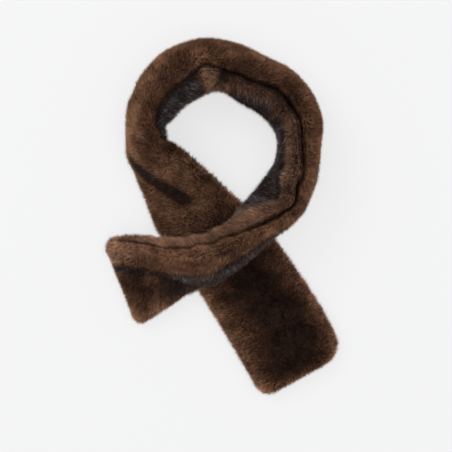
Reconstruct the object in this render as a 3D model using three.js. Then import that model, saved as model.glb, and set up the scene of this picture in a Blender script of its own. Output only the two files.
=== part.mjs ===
// Fur collar wrap: a strip with fur on both sides, laid on a table in a loop and crossed over itself.
// Millimetres. +Z up from the table, +X to the right and +Y away, as the wrap is seen from above.
//
// The maker cuts two long fur strips, a face and a back, and joins them pile outwards along every edge.
// The sewn edge ("seam edge") shows as a groove on top of the loop. The other long edge ("low edge")
// is on the table. Each strip is a panel whose solid reaches as far as the pile does.
import * as THREE from "three";

// Driving sizes
const GAP = 0.3; // between neighbouring panels and stretches
const CRUSH = 2.5; // how far the pile is pressed flat where it carries the wrap
const PRESSED = 12; // least thickness of the whole strip where it is pressed against something
const PRESSED_APART = 0.9; // height that this leaves the face above the strip's middle, and the back below
const UNDER_CLEAR = 1.1; // from the flat end's top to the end that crosses it
const UNDER_HALF = 70; // half the width that the crossing end has to clear
const UNDER_ROUNDNESS = 6; // superellipse exponent of that width's rounded sides
const CORNERS = { flat: { low: 20, seam: 32 }, crossing: { low: 14, seam: 15 } }; // plan radii of the ends
const PULL = { by: 8, over: 95 }; // the crossing end is pulled askew: seam edge forward, low edge back
const TROUGH_FADE = 40; // length over which a trough starts and ends
const TIP_ROLL = 12; // how far the pile rounds off at an end
const CREASE_SOFTNESS = 22; // width over which the strip turns up at its long crease
const SHOULDER_SOFTNESS = 34; // width over which it turns over at its shoulder
const PILE_ROUNDNESS = 3.2; // superellipse exponent of a panel's outside
const SEAM_DEPTH = 6; // depth of the groove where the two panels part at a sewn edge
const WIDEST_AT = 0.13; // share of a panel's thickness at which it is widest
const ORIGIN = { x: -3, y: -4 }; // place in the table below that the model's origin is moved to

// Mesh fineness
const STEP = 11; // along the strip
const ACROSS = 12; // facets across a panel
const BEND_STEPS = 64; // steps across the strip in which its bend is added up
const TIP_STEPS = [0.6, 2.2, 5, 9, 14, 20]; // extra rings by an end

// How the strip lies, from the flat end round the neck loop to the crossing end. Each row is a section:
// x, y: middle of the section in plan. width: along the bent strip, between the pile tips.
// crease: distance from the low edge at which the strip leaves the table. lean: slope above the crease.
// shoulder: distance from the low edge at which the slope turns to top. Slopes in degrees: 0 lies flat
// with the face up, 90 stands on the low edge. face, back: panel thickness. base: height of its support.
const COLUMNS = "x y width crease lean shoulder top face back base".split(" ");
const LAY = [
  [100.5, -201.5, 120, 60, 0, 90, 0, 13, 13, 0],
  [70.5, -147, 122, 60, 0, 90, 0, 13, 13, 0],
  [37, -93.5, 120, 60, 0, 90, 0, 12, 12, 0],
  [1, -42, 116, 62, 0, 95, 0, 10, 11, 0],
  [-32, -6.2, 110, 54, 24, 92, 20, 12, 12, 0],
  [-61, 33.5, 105, 26, 48, 80, 30, 14, 14, 0],
  [-85.5, 71.3, 98, 4, 66, 62, 34, 16, 12, 0],
  [-91.5, 101, 90, -20, 84, 45, 59, 19, 19, 0],
  [-87, 120.5, 88, -20, 100, 45, 56, 20, 31, 0],
  [-77, 133, 88, -20, 116, 45, 53, 21, 38, 0],
  [-64.5, 146.5, 88, -20, 120, 45, 52, 23, 40, 0],
  [-45.5, 163.5, 88, -20, 119, 45, 56, 25, 43, 0],
  [-22, 175, 88, -20, 116, 45, 66, 24, 39, 0],
  [5, 172, 88, -20, 112, 45, 74, 26, 31, 0],
  [34, 158, 88, -20, 112, 45, 74, 26, 34, 0],
  [64, 141, 88, -20, 112, 45, 76, 27, 35, 0],
  [86, 113, 88, -20, 104, 45, 84, 27, 31, 0],
  [89, 81, 88, -20, 96, 45, 90, 26, 25, 0],
  [85, 46, 88, -20, 102, 45, 97, 24, 29, 0],
  [64.5, 16.5, 88, -20, 130, 45, 96, 20, 31, 4],
  [35, -9.5, 88, -20, 112, 45, 78, 20, 31, 19],
  [5, -38.5, 88, -20, 88, 45, 54, 18, 28, 16],
  [-30.5, -61, 99, 5, 65, 58, 54, 17, 25, 8],
  [-67, -72.5, 107, 38, 57, 86, 72, 15, 20, 0],
  [-98.5, -78.5, 114, 64, 34, 94, 66, 13, 16, 0],
  [-130.5, -85, 115, 80, 6, 98, 26, 13, 13, 0],
].map((row) => Object.fromEntries(row.map((value, i) => [COLUMNS[i], value])));

// Pinches, where the pile parts across the bent strip. at: distance along the strip. centre, reach: across
// it, from -1 at the low edge to 1 at the seam. long: along it. depth: share of the thickness.
const PINCHES = [
  { side: "back", at: 372, centre: 0.3, reach: 0.8, long: 12, depth: 0.25 },
  { side: "back", at: 490, centre: 0.7, reach: 0.7, long: 12, depth: 0.35 },
  { side: "face", at: 490, centre: 0.9, reach: 0.5, long: 11, depth: 0.15 },
  { side: "back", at: 588, centre: 0.7, reach: 0.6, long: 11, depth: 0.3 },
  { side: "back", at: 700, centre: 0.6, reach: 0.6, long: 11, depth: 0.3 },
];

// Soft troughs that run along a flat stretch. from, to: distances along the strip. centre, reach: across
// it as above. depth: millimetres.
const TROUGHS = [{ side: "face", from: 20, to: 200, centre: 0.18, reach: 0.3, depth: 4 }];

// Where the strip shows as one stretch and then the next. over: whether it comes to lie over the flat end.
const STRETCHES = [
  { name: "flat_end", from: 0, to: 252, over: false },
  { name: "neck_left", from: 252, to: 490, over: false },
  { name: "neck_right", from: 490, to: 700, over: true },
  { name: "crossing_end", from: 700, to: Infinity, over: true },
];
const FUR = { face: 0x4a3022, back: 0x33241c };
const FUR_ROUGHNESS = 0.95;

const clamp = (value, low, high) => Math.min(Math.max(value, low), high);
const smooth = (value) => {
  const t = clamp(value, 0, 1);
  return t * t * (3 - 2 * t);
};
const bell = (value) => Math.exp(-value * value);
const superellipse = (value, exponent) => Math.max(0, 1 - Math.abs(value) ** exponent) ** (1 / exponent);
const closing = (depth) => Math.sqrt(1 - (1 - clamp(depth / SEAM_DEPTH, 0, 1)) ** 2);

// Distance of each row from the flat end, along the chords.
const along = LAY.map(() => 0);
for (let i = 1; i < LAY.length; i += 1) {
  along[i] = along[i - 1] + Math.hypot(LAY[i].x - LAY[i - 1].x, LAY[i].y - LAY[i - 1].y);
}
const LENGTH = along.at(-1);

// Every column at distance s, on a cubic through the rows, with the plan heading of the strip.
function layAt(s) {
  const last = LAY.length - 2;
  let i = 0;
  while (i < last && along[i + 1] < s) i += 1;
  const span = along[i + 1] - along[i];
  const t = (s - along[i]) / span;
  const slope = (column, k) => {
    const before = Math.max(k - 1, 0);
    const after = Math.min(k + 1, LAY.length - 1);
    return (LAY[after][column] - LAY[before][column]) / (along[after] - along[before]);
  };
  const cubic = (column) => {
    const [a, b] = [LAY[i][column], LAY[i + 1][column]];
    const [da, db] = [slope(column, i) * span, slope(column, i + 1) * span];
    return {
      value: a + t * (da + t * (3 * (b - a) - 2 * da - db + t * (da + db - 2 * (b - a)))),
      rate: da + t * (2 * (3 * (b - a) - 2 * da - db) + 3 * t * (da + db - 2 * (b - a))),
    };
  };
  const lay = Object.fromEntries(COLUMNS.map((column) => [column, cubic(column).value]));
  const [dx, dy] = [cubic("x").rate, cubic("y").rate];
  const speed = Math.hypot(dx, dy);
  return { ...lay, headX: dx / speed, headY: dy / speed };
}

// The strip's middle surface in section: for each a, in millimetres from the low edge, how far it lies
// towards the seam edge in plan (u), its height (z) and its slope. u is 0 midway between the edges.
function middleLine(lay) {
  const line = [{ a: 0, u: 0, z: 0 }];
  const slopeAt = (a) => {
    const up = lay.lean * smooth((a - lay.crease) / CREASE_SOFTNESS + 0.5);
    const over = (lay.top - lay.lean) * smooth((a - lay.shoulder) / SHOULDER_SOFTNESS + 0.5);
    return THREE.MathUtils.degToRad(up + over);
  };
  const step = lay.width / BEND_STEPS;
  for (let k = 1; k <= BEND_STEPS; k += 1) {
    const slope = slopeAt((k - 0.5) * step);
    const { u, z } = line[k - 1];
    line.push({ a: k * step, u: u + step * Math.cos(slope), z: z + step * Math.sin(slope) });
  }
  const middle = line[BEND_STEPS].u / 2;
  return (a) => {
    const k = Math.min(Math.floor(a / step), BEND_STEPS - 1);
    const t = a / step - k;
    return {
      u: line[k].u * (1 - t) + line[k + 1].u * t - middle,
      z: line[k].z * (1 - t) + line[k + 1].z * t,
      slope: slopeAt(a),
    };
  };
}

// Thickness of a panel at distance s and place v across it, before its edges are rounded.
function thickness(side, lay, s, v) {
  let thick = lay[side];
  for (const pinch of PINCHES.filter((each) => each.side === side)) {
    thick *= 1 - pinch.depth * bell((s - pinch.at) / pinch.long) * bell((v - pinch.centre) / pinch.reach);
  }
  for (const trough of TROUGHS.filter((each) => each.side === side)) {
    const ends = smooth((s - trough.from) / TROUGH_FADE) * smooth((trough.to - s) / TROUGH_FADE);
    thick -= trough.depth * ends * bell((v - trough.centre) / trough.reach);
  }
  return thick;
}

// Heights above the middle surface of a panel's outside and of the side that faces the other panel.
// The outside is a superellipse over v, and the other side closes in a quarter ellipse behind the sewn
// edge. Both do the same towards an end of the strip. fromEnd is the distance to it.
function pillow(side, lay, s, v, fromEnd) {
  const thick = thickness(side, lay, s, v);
  const toEnd = clamp(1 - fromEnd / TIP_ROLL, 0, 1);
  const outside = superellipse(v, PILE_ROUNDNESS) * superellipse(toEnd, PILE_ROUNDNESS);
  const inside = closing(((1 - Math.abs(v)) * lay.width) / 2) * closing(fromEnd);
  return {
    outside: thick * (WIDEST_AT + (1 - WIDEST_AT) * outside),
    inside: GAP / 2 + thick * WIDEST_AT * (1 - inside),
  };
}

// How much an end's rounded corner takes off the width, at a distance from that end.
const cornerCut = (fromEnd, radius) => {
  const e = clamp(fromEnd, 0, radius);
  return radius - Math.sqrt(radius ** 2 - (radius - e) ** 2);
};

const SIGN = { face: 1, back: -1 };
const inSection = (line, a, offset) => {
  const { u, z, slope } = line(a);
  return { u: u - offset * Math.sin(slope), z: z + offset * Math.cos(slope), slope };
};

// Height that lifts a section until its lowest pile is pressed CRUSH deep into its support.
function liftOf(lay, line, s) {
  let lowest = Infinity;
  for (let k = 0; k <= ACROSS * 2; k += 1) {
    const v = -Math.cos((Math.PI * k) / (ACROSS * 2));
    for (const side of ["face", "back"]) {
      const { outside } = pillow(side, lay, s, v, Infinity);
      lowest = Math.min(lowest, inSection(line, ((1 + v) * lay.width) / 2, SIGN[side] * outside).z);
    }
  }
  return Math.max(lay.base, 0) - lowest - CRUSH;
}

// Height that a stretch may not go below: the table, or the flat end's top with its rounded sides.
const AXIS = new THREE.Vector2(LAY[3].x - LAY[1].x, LAY[3].y - LAY[1].y).normalize();
function supportHeight(x, y, over) {
  if (!over) return 0;
  const ahead = (x - LAY[1].x) * AXIS.x + (y - LAY[1].y) * AXIS.y;
  const aside = (x - LAY[1].x) * AXIS.y - (y - LAY[1].y) * AXIS.x;
  const beneath = layAt(along[1] + ahead);
  const top = beneath.face + beneath.back - CRUSH + UNDER_CLEAR;
  return top * superellipse(clamp(aside / UNDER_HALF, -1, 1), UNDER_ROUNDNESS);
}

// One ring of a panel: ACROSS + 1 points on its outside, from the low edge to the seam, then the same
// number back along the side that faces the other panel. Where the strip meets what it lies on, it keeps
// a share of its thickness PRESSED, less the steeper it stands.
function ringOf(side, s, over) {
  const lay = layAt(s);
  const line = middleLine(lay);
  const lift = liftOf(lay, line, s);
  const fromEnd = Math.min(s, LENGTH - s);
  const corner = s < LENGTH / 2 ? CORNERS.flat : CORNERS.crossing;
  const low = cornerCut(fromEnd, corner.low);
  const high = lay.width - cornerCut(fromEnd, corner.seam);
  const pull = PULL.by * smooth((s - LENGTH) / PULL.over + 1);
  const place = (v, offset) => {
    const { u, z, slope } = inSection(line, low + ((1 + v) * (high - low)) / 2, SIGN[side] * offset);
    const x = lay.x + u * lay.headY + pull * v * lay.headX;
    const y = lay.y - u * lay.headX + pull * v * lay.headY;
    const depth = (SIGN[side] * offset + lay.back) / (lay.back + lay.face);
    const pressed = PRESSED * depth * Math.max(Math.cos(slope), 0) + SIGN[side] * PRESSED_APART;
    const least = supportHeight(x, y, over) + Math.max(pressed, 0);
    return new THREE.Vector3(x, y, Math.max(z + lift, least));
  };
  const places = Array.from({ length: ACROSS + 1 }, (_, k) => -Math.cos((Math.PI * k) / ACROSS));
  const outside = places.map((v) => place(v, pillow(side, lay, s, v, fromEnd).outside));
  const inner = places.slice(1, -1).reverse();
  const inside = inner.map((v) => place(v, pillow(side, lay, s, v, fromEnd).inside));
  return [...outside, ...inside];
}

// Distances along the strip at which a stretch has its rings.
function ringPlaces(from, to) {
  const end = Math.min(to, LENGTH);
  const start = from + (from > 0 ? GAP / 2 : 0);
  const stop = end - (end < LENGTH ? GAP / 2 : 0);
  const nearTip = TIP_STEPS.flatMap((e) => [e, LENGTH - e]).filter((s) => s > start && s < stop);
  const count = Math.round((stop - start) / STEP);
  const even = Array.from({ length: count + 1 }, (_, i) => start + ((stop - start) * i) / count);
  const clear = even.filter((s) => Math.min(s, LENGTH - s) > TIP_STEPS.at(-1) + STEP / 2);
  return [...clear, ...nearTip].sort((a, b) => a - b);
}

// A panel of one stretch: rings joined by quads, and closed at both ends by a ladder of quads.
function panel(side, { from, to, over }) {
  const rings = ringPlaces(from, to).map((s) => ringOf(side, s, over));
  const around = rings[0].length;
  const index = [];
  const quad = (a, b, c, d) => {
    if (side === "face") index.push(a, b, c, a, c, d);
    else index.push(a, c, b, a, d, c);
  };
  for (let i = 0; i + 1 < rings.length; i += 1) {
    for (let k = 0; k < around; k += 1) {
      const next = (k + 1) % around;
      quad(i * around + k, i * around + next, (i + 1) * around + next, (i + 1) * around + k);
    }
  }
  const cap = (ring, flip) => {
    const at = (k) => ring * around + ((k + around) % around);
    for (let k = 0; k < ACROSS; k += 1) {
      const corners = [at(k), at(-k), at(-k - 1), at(k + 1)];
      quad(...(flip ? corners.reverse() : corners));
    }
  };
  cap(0, false);
  cap(rings.length - 1, true);
  const geometry = new THREE.BufferGeometry();
  const flat = rings.flat().flatMap((point) => point.toArray());
  geometry.setAttribute("position", new THREE.Float32BufferAttribute(flat, 3));
  geometry.setIndex(index);
  geometry.computeVertexNormals();
  return geometry;
}

const wrap = new THREE.Group();
wrap.name = "fur_collar_wrap";
wrap.position.set(-ORIGIN.x, -ORIGIN.y, 0);
for (const stretch of STRETCHES) {
  for (const side of ["face", "back"]) {
    const fur = { color: FUR[side], roughness: FUR_ROUGHNESS, metalness: 0 };
    const mesh = new THREE.Mesh(panel(side, stretch), new THREE.MeshStandardMaterial(fur));
    mesh.name = `${stretch.name}_${side}`;
    wrap.add(mesh);
  }
}

export default wrap;
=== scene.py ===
"""Fur collar wrap: a strip with fur on both sides, laid in a loop on a pale surface and crossed over itself.

Everything is worked out in millimetres along the strip and put into the meshes in metres. A place on the
strip has three numbers: s, the distance from the flat end; w, the place across a panel, from -1 at the low
edge to 1 at the seam edge, and a little past both where the pile turns into the gap between the two
panels; and inset, the depth below the tips of the pile.
"""

import itertools
import logging
import math
from dataclasses import dataclass, field
from enum import Enum, IntEnum

import bpy
import numpy as np
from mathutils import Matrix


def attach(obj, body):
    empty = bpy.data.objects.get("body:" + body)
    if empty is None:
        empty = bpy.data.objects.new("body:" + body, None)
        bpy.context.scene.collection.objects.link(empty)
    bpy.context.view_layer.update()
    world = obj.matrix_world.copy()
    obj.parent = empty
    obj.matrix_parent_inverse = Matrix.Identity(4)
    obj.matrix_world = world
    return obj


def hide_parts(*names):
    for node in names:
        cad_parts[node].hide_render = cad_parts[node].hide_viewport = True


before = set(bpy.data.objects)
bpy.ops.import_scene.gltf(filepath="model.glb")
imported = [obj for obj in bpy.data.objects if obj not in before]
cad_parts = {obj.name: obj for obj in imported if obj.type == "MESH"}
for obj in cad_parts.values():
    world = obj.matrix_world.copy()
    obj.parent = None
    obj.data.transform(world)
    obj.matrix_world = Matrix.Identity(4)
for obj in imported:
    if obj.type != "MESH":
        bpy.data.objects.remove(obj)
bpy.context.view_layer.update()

Array = np.ndarray
Lay = dict[str, Array]
Pair = tuple[float, float]
Triple = tuple[float, float, float]
Socket = bpy.types.NodeSocket
Tree = bpy.types.NodeTree

LOG = logging.getLogger("fur_collar_wrap")
MM = 0.001

# Noise: how many cells a lattice has, and a shift that keeps places in it. Tufts: how many random rows,
# the primes that pick a cell's row, and how far a centre strays in its cell.
LATTICE_CELLS = 512
LATTICE_SHIFT = 50.0
TUFT_LOTS = 65536
TUFT_HASH = (73856093, 19349663, 83492791)
TUFT_STREW = 0.35


class Side(Enum):
    """The two fur strips, with the sign of their offset from the middle of the wrap."""

    FACE = 1
    BACK = -1

    @property
    def word(self) -> str:
        """The side's name as it stands in the names of nodes and columns."""
        return self.name.lower()


class Seed(IntEnum):
    """The seed of every scatter and every noise."""

    HAIRS = 7
    PATCHES = 15
    BROAD_PATCHES = 16
    NAP_ALONG = 17
    NAP_ACROSS = 18
    SEAM_SWAY = 19
    EDGE = 20
    SEAM_NAP = 21
    TUFTS = 31


# How the strip lies: one row for each section, from the flat end to the end that crosses it. x, y: middle
# of the section in plan. width: along the bent strip, between pile tips. crease: distance from the low edge
# at which it leaves the table. lean: slope above the crease, in degrees. shoulder: distance from the low
# edge at which the slope turns to top. face, back: panel thickness. base: height of the support.
COLUMNS = "x y width crease lean shoulder top face back base".split()
LAY = (
    (100.5, -201.5, 120, 60, 0, 90, 0, 13, 13, 0),
    (70.5, -147, 122, 60, 0, 90, 0, 13, 13, 0),
    (37, -93.5, 120, 60, 0, 90, 0, 12, 12, 0),
    (1, -42, 116, 62, 0, 95, 0, 10, 11, 0),
    (-32, -6.2, 110, 54, 24, 92, 20, 12, 12, 0),
    (-61, 33.5, 105, 26, 48, 80, 30, 14, 14, 0),
    (-85.5, 71.3, 98, 4, 66, 62, 34, 16, 12, 0),
    (-91.5, 101, 90, -20, 84, 45, 59, 19, 19, 0),
    (-87, 120.5, 88, -20, 100, 45, 56, 20, 31, 0),
    (-77, 133, 88, -20, 116, 45, 53, 21, 38, 0),
    (-64.5, 146.5, 88, -20, 120, 45, 52, 23, 40, 0),
    (-45.5, 163.5, 88, -20, 119, 45, 56, 25, 43, 0),
    (-22, 175, 88, -20, 116, 45, 66, 24, 39, 0),
    (5, 172, 88, -20, 112, 45, 74, 26, 31, 0),
    (34, 158, 88, -20, 112, 45, 74, 26, 34, 0),
    (64, 141, 88, -20, 112, 45, 76, 27, 35, 0),
    (86, 113, 88, -20, 104, 45, 84, 27, 31, 0),
    (89, 81, 88, -20, 96, 45, 90, 26, 25, 0),
    (85, 46, 88, -20, 102, 45, 97, 24, 29, 0),
    (64.5, 16.5, 88, -20, 130, 45, 96, 20, 31, 4),
    (35, -9.5, 88, -20, 112, 45, 78, 20, 31, 19),
    (5, -38.5, 88, -20, 88, 45, 54, 18, 28, 16),
    (-30.5, -61, 99, 5, 65, 58, 54, 17, 25, 8),
    (-67, -72.5, 107, 38, 57, 86, 72, 15, 20, 0),
    (-98.5, -78.5, 114, 64, 34, 94, 66, 13, 16, 0),
    (-130.5, -85, 115, 80, 6, 98, 26, 13, 13, 0),
)


@dataclass(frozen=True)
class Pinch:
    """A place where the pile parts across the bent strip.

    at: distance along the strip. centre, reach: across it. long: along it. depth: share of the thickness.
    """

    side: Side
    at: float
    centre: float
    reach: float
    long: float
    depth: float

    def cut(self, s: Array, v: Array) -> Array:
        """Share of the thickness that it takes away: its depth times a bell along and a bell across."""
        return self.depth * bell((s - self.at) / self.long) * bell((v - self.centre) / self.reach)


@dataclass(frozen=True)
class Trough:
    """A soft trough along a flat stretch, from and to in millimetres along the strip.

    centre, reach: across it. depth: in millimetres. fade: length over which it comes and goes.
    """

    side: Side
    start: float
    stop: float
    centre: float
    reach: float
    depth: float
    fade: float = 40.0

    def cut(self, s: Array, v: Array) -> Array:
        """Thickness that it takes away: its depth, faded at both ends, times a bell across."""
        ends = smooth((s - self.start) / self.fade) * smooth((self.stop - s) / self.fade)
        return self.depth * ends * bell((v - self.centre) / self.reach)


@dataclass(frozen=True)
class Stretch:
    """A stretch of the strip that shows as one piece.
    """

    name: str
    start: float
    stop: float
    over: bool
    held: str


@dataclass(frozen=True)
class Zone:
    """A band of the pile with painted light, painted shade or more painted sheen than its slope alone gives
    it.

    start, stop: along the strip. first, last: its middle across the strip at those two places. reach: half
    its width across. light, frost: the painted light (painted shade where below 0) and the painted sheen
    that
    it adds at its middle. fade: length over which it comes and goes. sharp: how sharp its long edges are, 2
    for a bell.
    """

    side: Side
    start: float
    stop: float
    first: float
    last: float
    reach: float
    light: float
    frost: float
    fade: float = 20.0
    sharp: float = 2.0

    def share(self, s: Array, w: Array) -> Array:
        """Share in which places lie in the band: faded at both ends, and e to the minus aside^sharp.

        Args:
            s: distances along the strip.
            w: places across the panel.

        Returns:
            Shares from 0 to 1.
        """
        part = np.clip((s - self.start) / (self.stop - self.start), 0, 1)
        ends = smooth((s - self.start) / self.fade) * smooth((self.stop - s) / self.fade)
        aside = np.abs(w - self.first - (self.last - self.first) * part) / self.reach
        return ends * np.exp(-(aside**self.sharp))


PINCHES = (
    Pinch(Side.BACK, 372, 0.3, 0.8, 12, 0.25),
    Pinch(Side.BACK, 490, 0.7, 0.7, 12, 0.35),
    Pinch(Side.FACE, 490, 0.9, 0.5, 11, 0.15),
    Pinch(Side.BACK, 588, 0.7, 0.6, 11, 0.3),
    Pinch(Side.BACK, 700, 0.6, 0.6, 11, 0.3),
)
TROUGHS = (Trough(Side.FACE, 20, 200, 0.18, 0.3, 4),)
STRETCHES = (
    Stretch("flat_end", 0, 252, False, "laid"),
    Stretch("neck_left", 252, 490, False, "folded"),
    Stretch("neck_right", 490, 700, True, "folded"),
    Stretch("crossing_end", 700, math.inf, True, "laid"),
)
# Bands of painted light (light above 0) and painted shade (below 0) on the pile, and of painted sheen
# (frost): they light rolls and faces and darken the fold's valley, the steep walls and the flat end.
ZONES = (
    Zone(Side.FACE, -5, 215, 0.10, 0.15, 0.70, -0.44, 0.0, 30),
    Zone(Side.FACE, 20, 205, 0.50, 0.12, 0.14, -0.50, 0.0, 30),
    Zone(Side.FACE, 246, 347, 0.26, -0.44, 0.21, -1.00, 0.05, 20, 2.6),
    Zone(Side.FACE, 200, 270, 0.40, 0.40, 0.60, 0.42, 0.0),
    Zone(Side.FACE, 200, 345, 0.58, -0.10, 0.14, 0.05, 0.40, 30),
    Zone(Side.FACE, 240, 330, 0.70, 0.40, 0.40, 0.20, 0.0),
    Zone(Side.FACE, 330, 440, 0.30, 0.30, 0.60, 0.06, 0.0, 40),
    Zone(Side.FACE, 860, 950, 0.85, 0.85, 0.40, 0.16, 0.3, 30),
    Zone(Side.FACE, 705, 880, 0.50, -0.36, 0.17, -0.75, 0.90, 30, 3.0),
    Zone(Side.FACE, 695, 876, -0.15, -0.91, 0.46, -0.85, 0.30, 40, 4.0),
    Zone(Side.FACE, 850, 935, -0.32, 0.52, 0.14, -0.65, 0.60, 12, 3.0),
    Zone(Side.FACE, 845, 935, -0.80, -0.05, 0.46, -0.36, 0.12, 18),
    Zone(Side.BACK, 342, 456, 0.80, 0.85, 0.62, -0.95, 0.5, 12),
    Zone(Side.BACK, 454, 486, 0.95, 0.95, 0.50, 0.27, 0.2, 8),
    Zone(Side.BACK, 482, 500, 0.75, 0.90, 0.40, -0.80, 0.1, 7),
    Zone(Side.BACK, 500, 574, -0.06, -0.02, 0.92, -0.95, -0.20, 12, 8.0),
    Zone(Side.BACK, 504, 572, 0.88, 0.91, 0.07, -0.10, 1.00, 12),
    Zone(Side.BACK, 564, 735, -0.06, -0.10, 0.88, -0.82, 0.35, 20, 8.0),
    Zone(Side.BACK, 590, 750, 0.88, 0.84, 0.07, 0.10, 1.00, 20),
    Zone(Side.BACK, 694, 708, 0.50, 0.50, 0.50, -0.40, 0.2, 8),
    Zone(Side.BACK, 700, 860, 0.00, 0.00, 0.60, -0.60, 1.0),
    Zone(Side.BACK, 500, 710, 0.98, 0.98, 0.12, 0.12, 0.0, 20),
)


def smooth(value: Array) -> Array:
    """Smoothstep: 0 up to 0, 1 from 1 on, and 3 t^2 - 2 t^3 between."""
    t = np.clip(value, 0.0, 1.0)
    return t * t * (3.0 - 2.0 * t)


def bell(value: Array) -> Array:
    """Bell curve: e to the minus value squared."""
    return np.exp(-value * value)


def superellipse(value: Array, exponent: float) -> Array:
    """Height of a superellipse of half-width 1: (1 - |value|^n)^(1/n), and 0 past its edge."""
    return np.maximum(0.0, 1.0 - np.abs(value) ** exponent) ** (1.0 / exponent)


def lattice_noise(s: Array, a: Array, scale: float, seed: Seed) -> Array:
    """Smooth noise over the strip: random values on a square lattice, blended by smoothstep.

    Args:
        s: distances along the strip, in millimetres.
        a: distances across it, in millimetres.
        scale: spacing of the lattice.
        seed: which noise.

    Returns:
        Values from -1 to 1.
    """
    values = np.random.default_rng(int(seed)).uniform(-1.0, 1.0, (LATTICE_CELLS, LATTICE_CELLS))
    x, y = s / scale + LATTICE_SHIFT, a / scale + LATTICE_SHIFT
    i, j = np.floor(x).astype(int), np.floor(y).astype(int)
    tx, ty = smooth(x - i), smooth(y - j)
    i, j = i % LATTICE_CELLS, j % LATTICE_CELLS
    k, m = (i + 1) % LATTICE_CELLS, (j + 1) % LATTICE_CELLS
    low = values[i, j] * (1.0 - tx) + values[k, j] * tx
    high = values[i, m] * (1.0 - tx) + values[k, m] * tx
    return low * (1.0 - ty) + high * ty


def tuft_at(places: Array, pitch: float, seed: Seed) -> tuple[Array, Array]:
    """The tuft that each hair belongs to: the nearest of centres strewn over a cubic lattice.

    Args:
        places: where the hairs come out of the pile, one row each.
        pitch: spacing of the lattice, and so the usual size of a tuft.
        seed: which scatter.

    Returns:
        Ways to the tuft's middle, and five numbers of the tuft's own from -1 to 1.
    """
    lots = np.random.default_rng(int(seed)).uniform(-1.0, 1.0, (TUFT_LOTS, 8))
    cell = np.floor(places / pitch - 0.5).astype(np.int64)
    nearest = np.full(len(places), np.inf)
    way, own = np.zeros((len(places), 3)), np.zeros((len(places), 5))
    for step in itertools.product((0, 1), repeat=3):
        lot = lots[((cell + step) @ TUFT_HASH) % TUFT_LOTS]
        to = (cell + step + 0.5 + TUFT_STREW * lot[:, 5:]) * pitch - places
        distance = np.linalg.norm(to, axis=1)
        closer = distance < nearest
        nearest = np.where(closer, distance, nearest)
        way = np.where(closer[:, None], to, way)
        own = np.where(closer[:, None], lot[:, :5], own)
    return way, own


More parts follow.
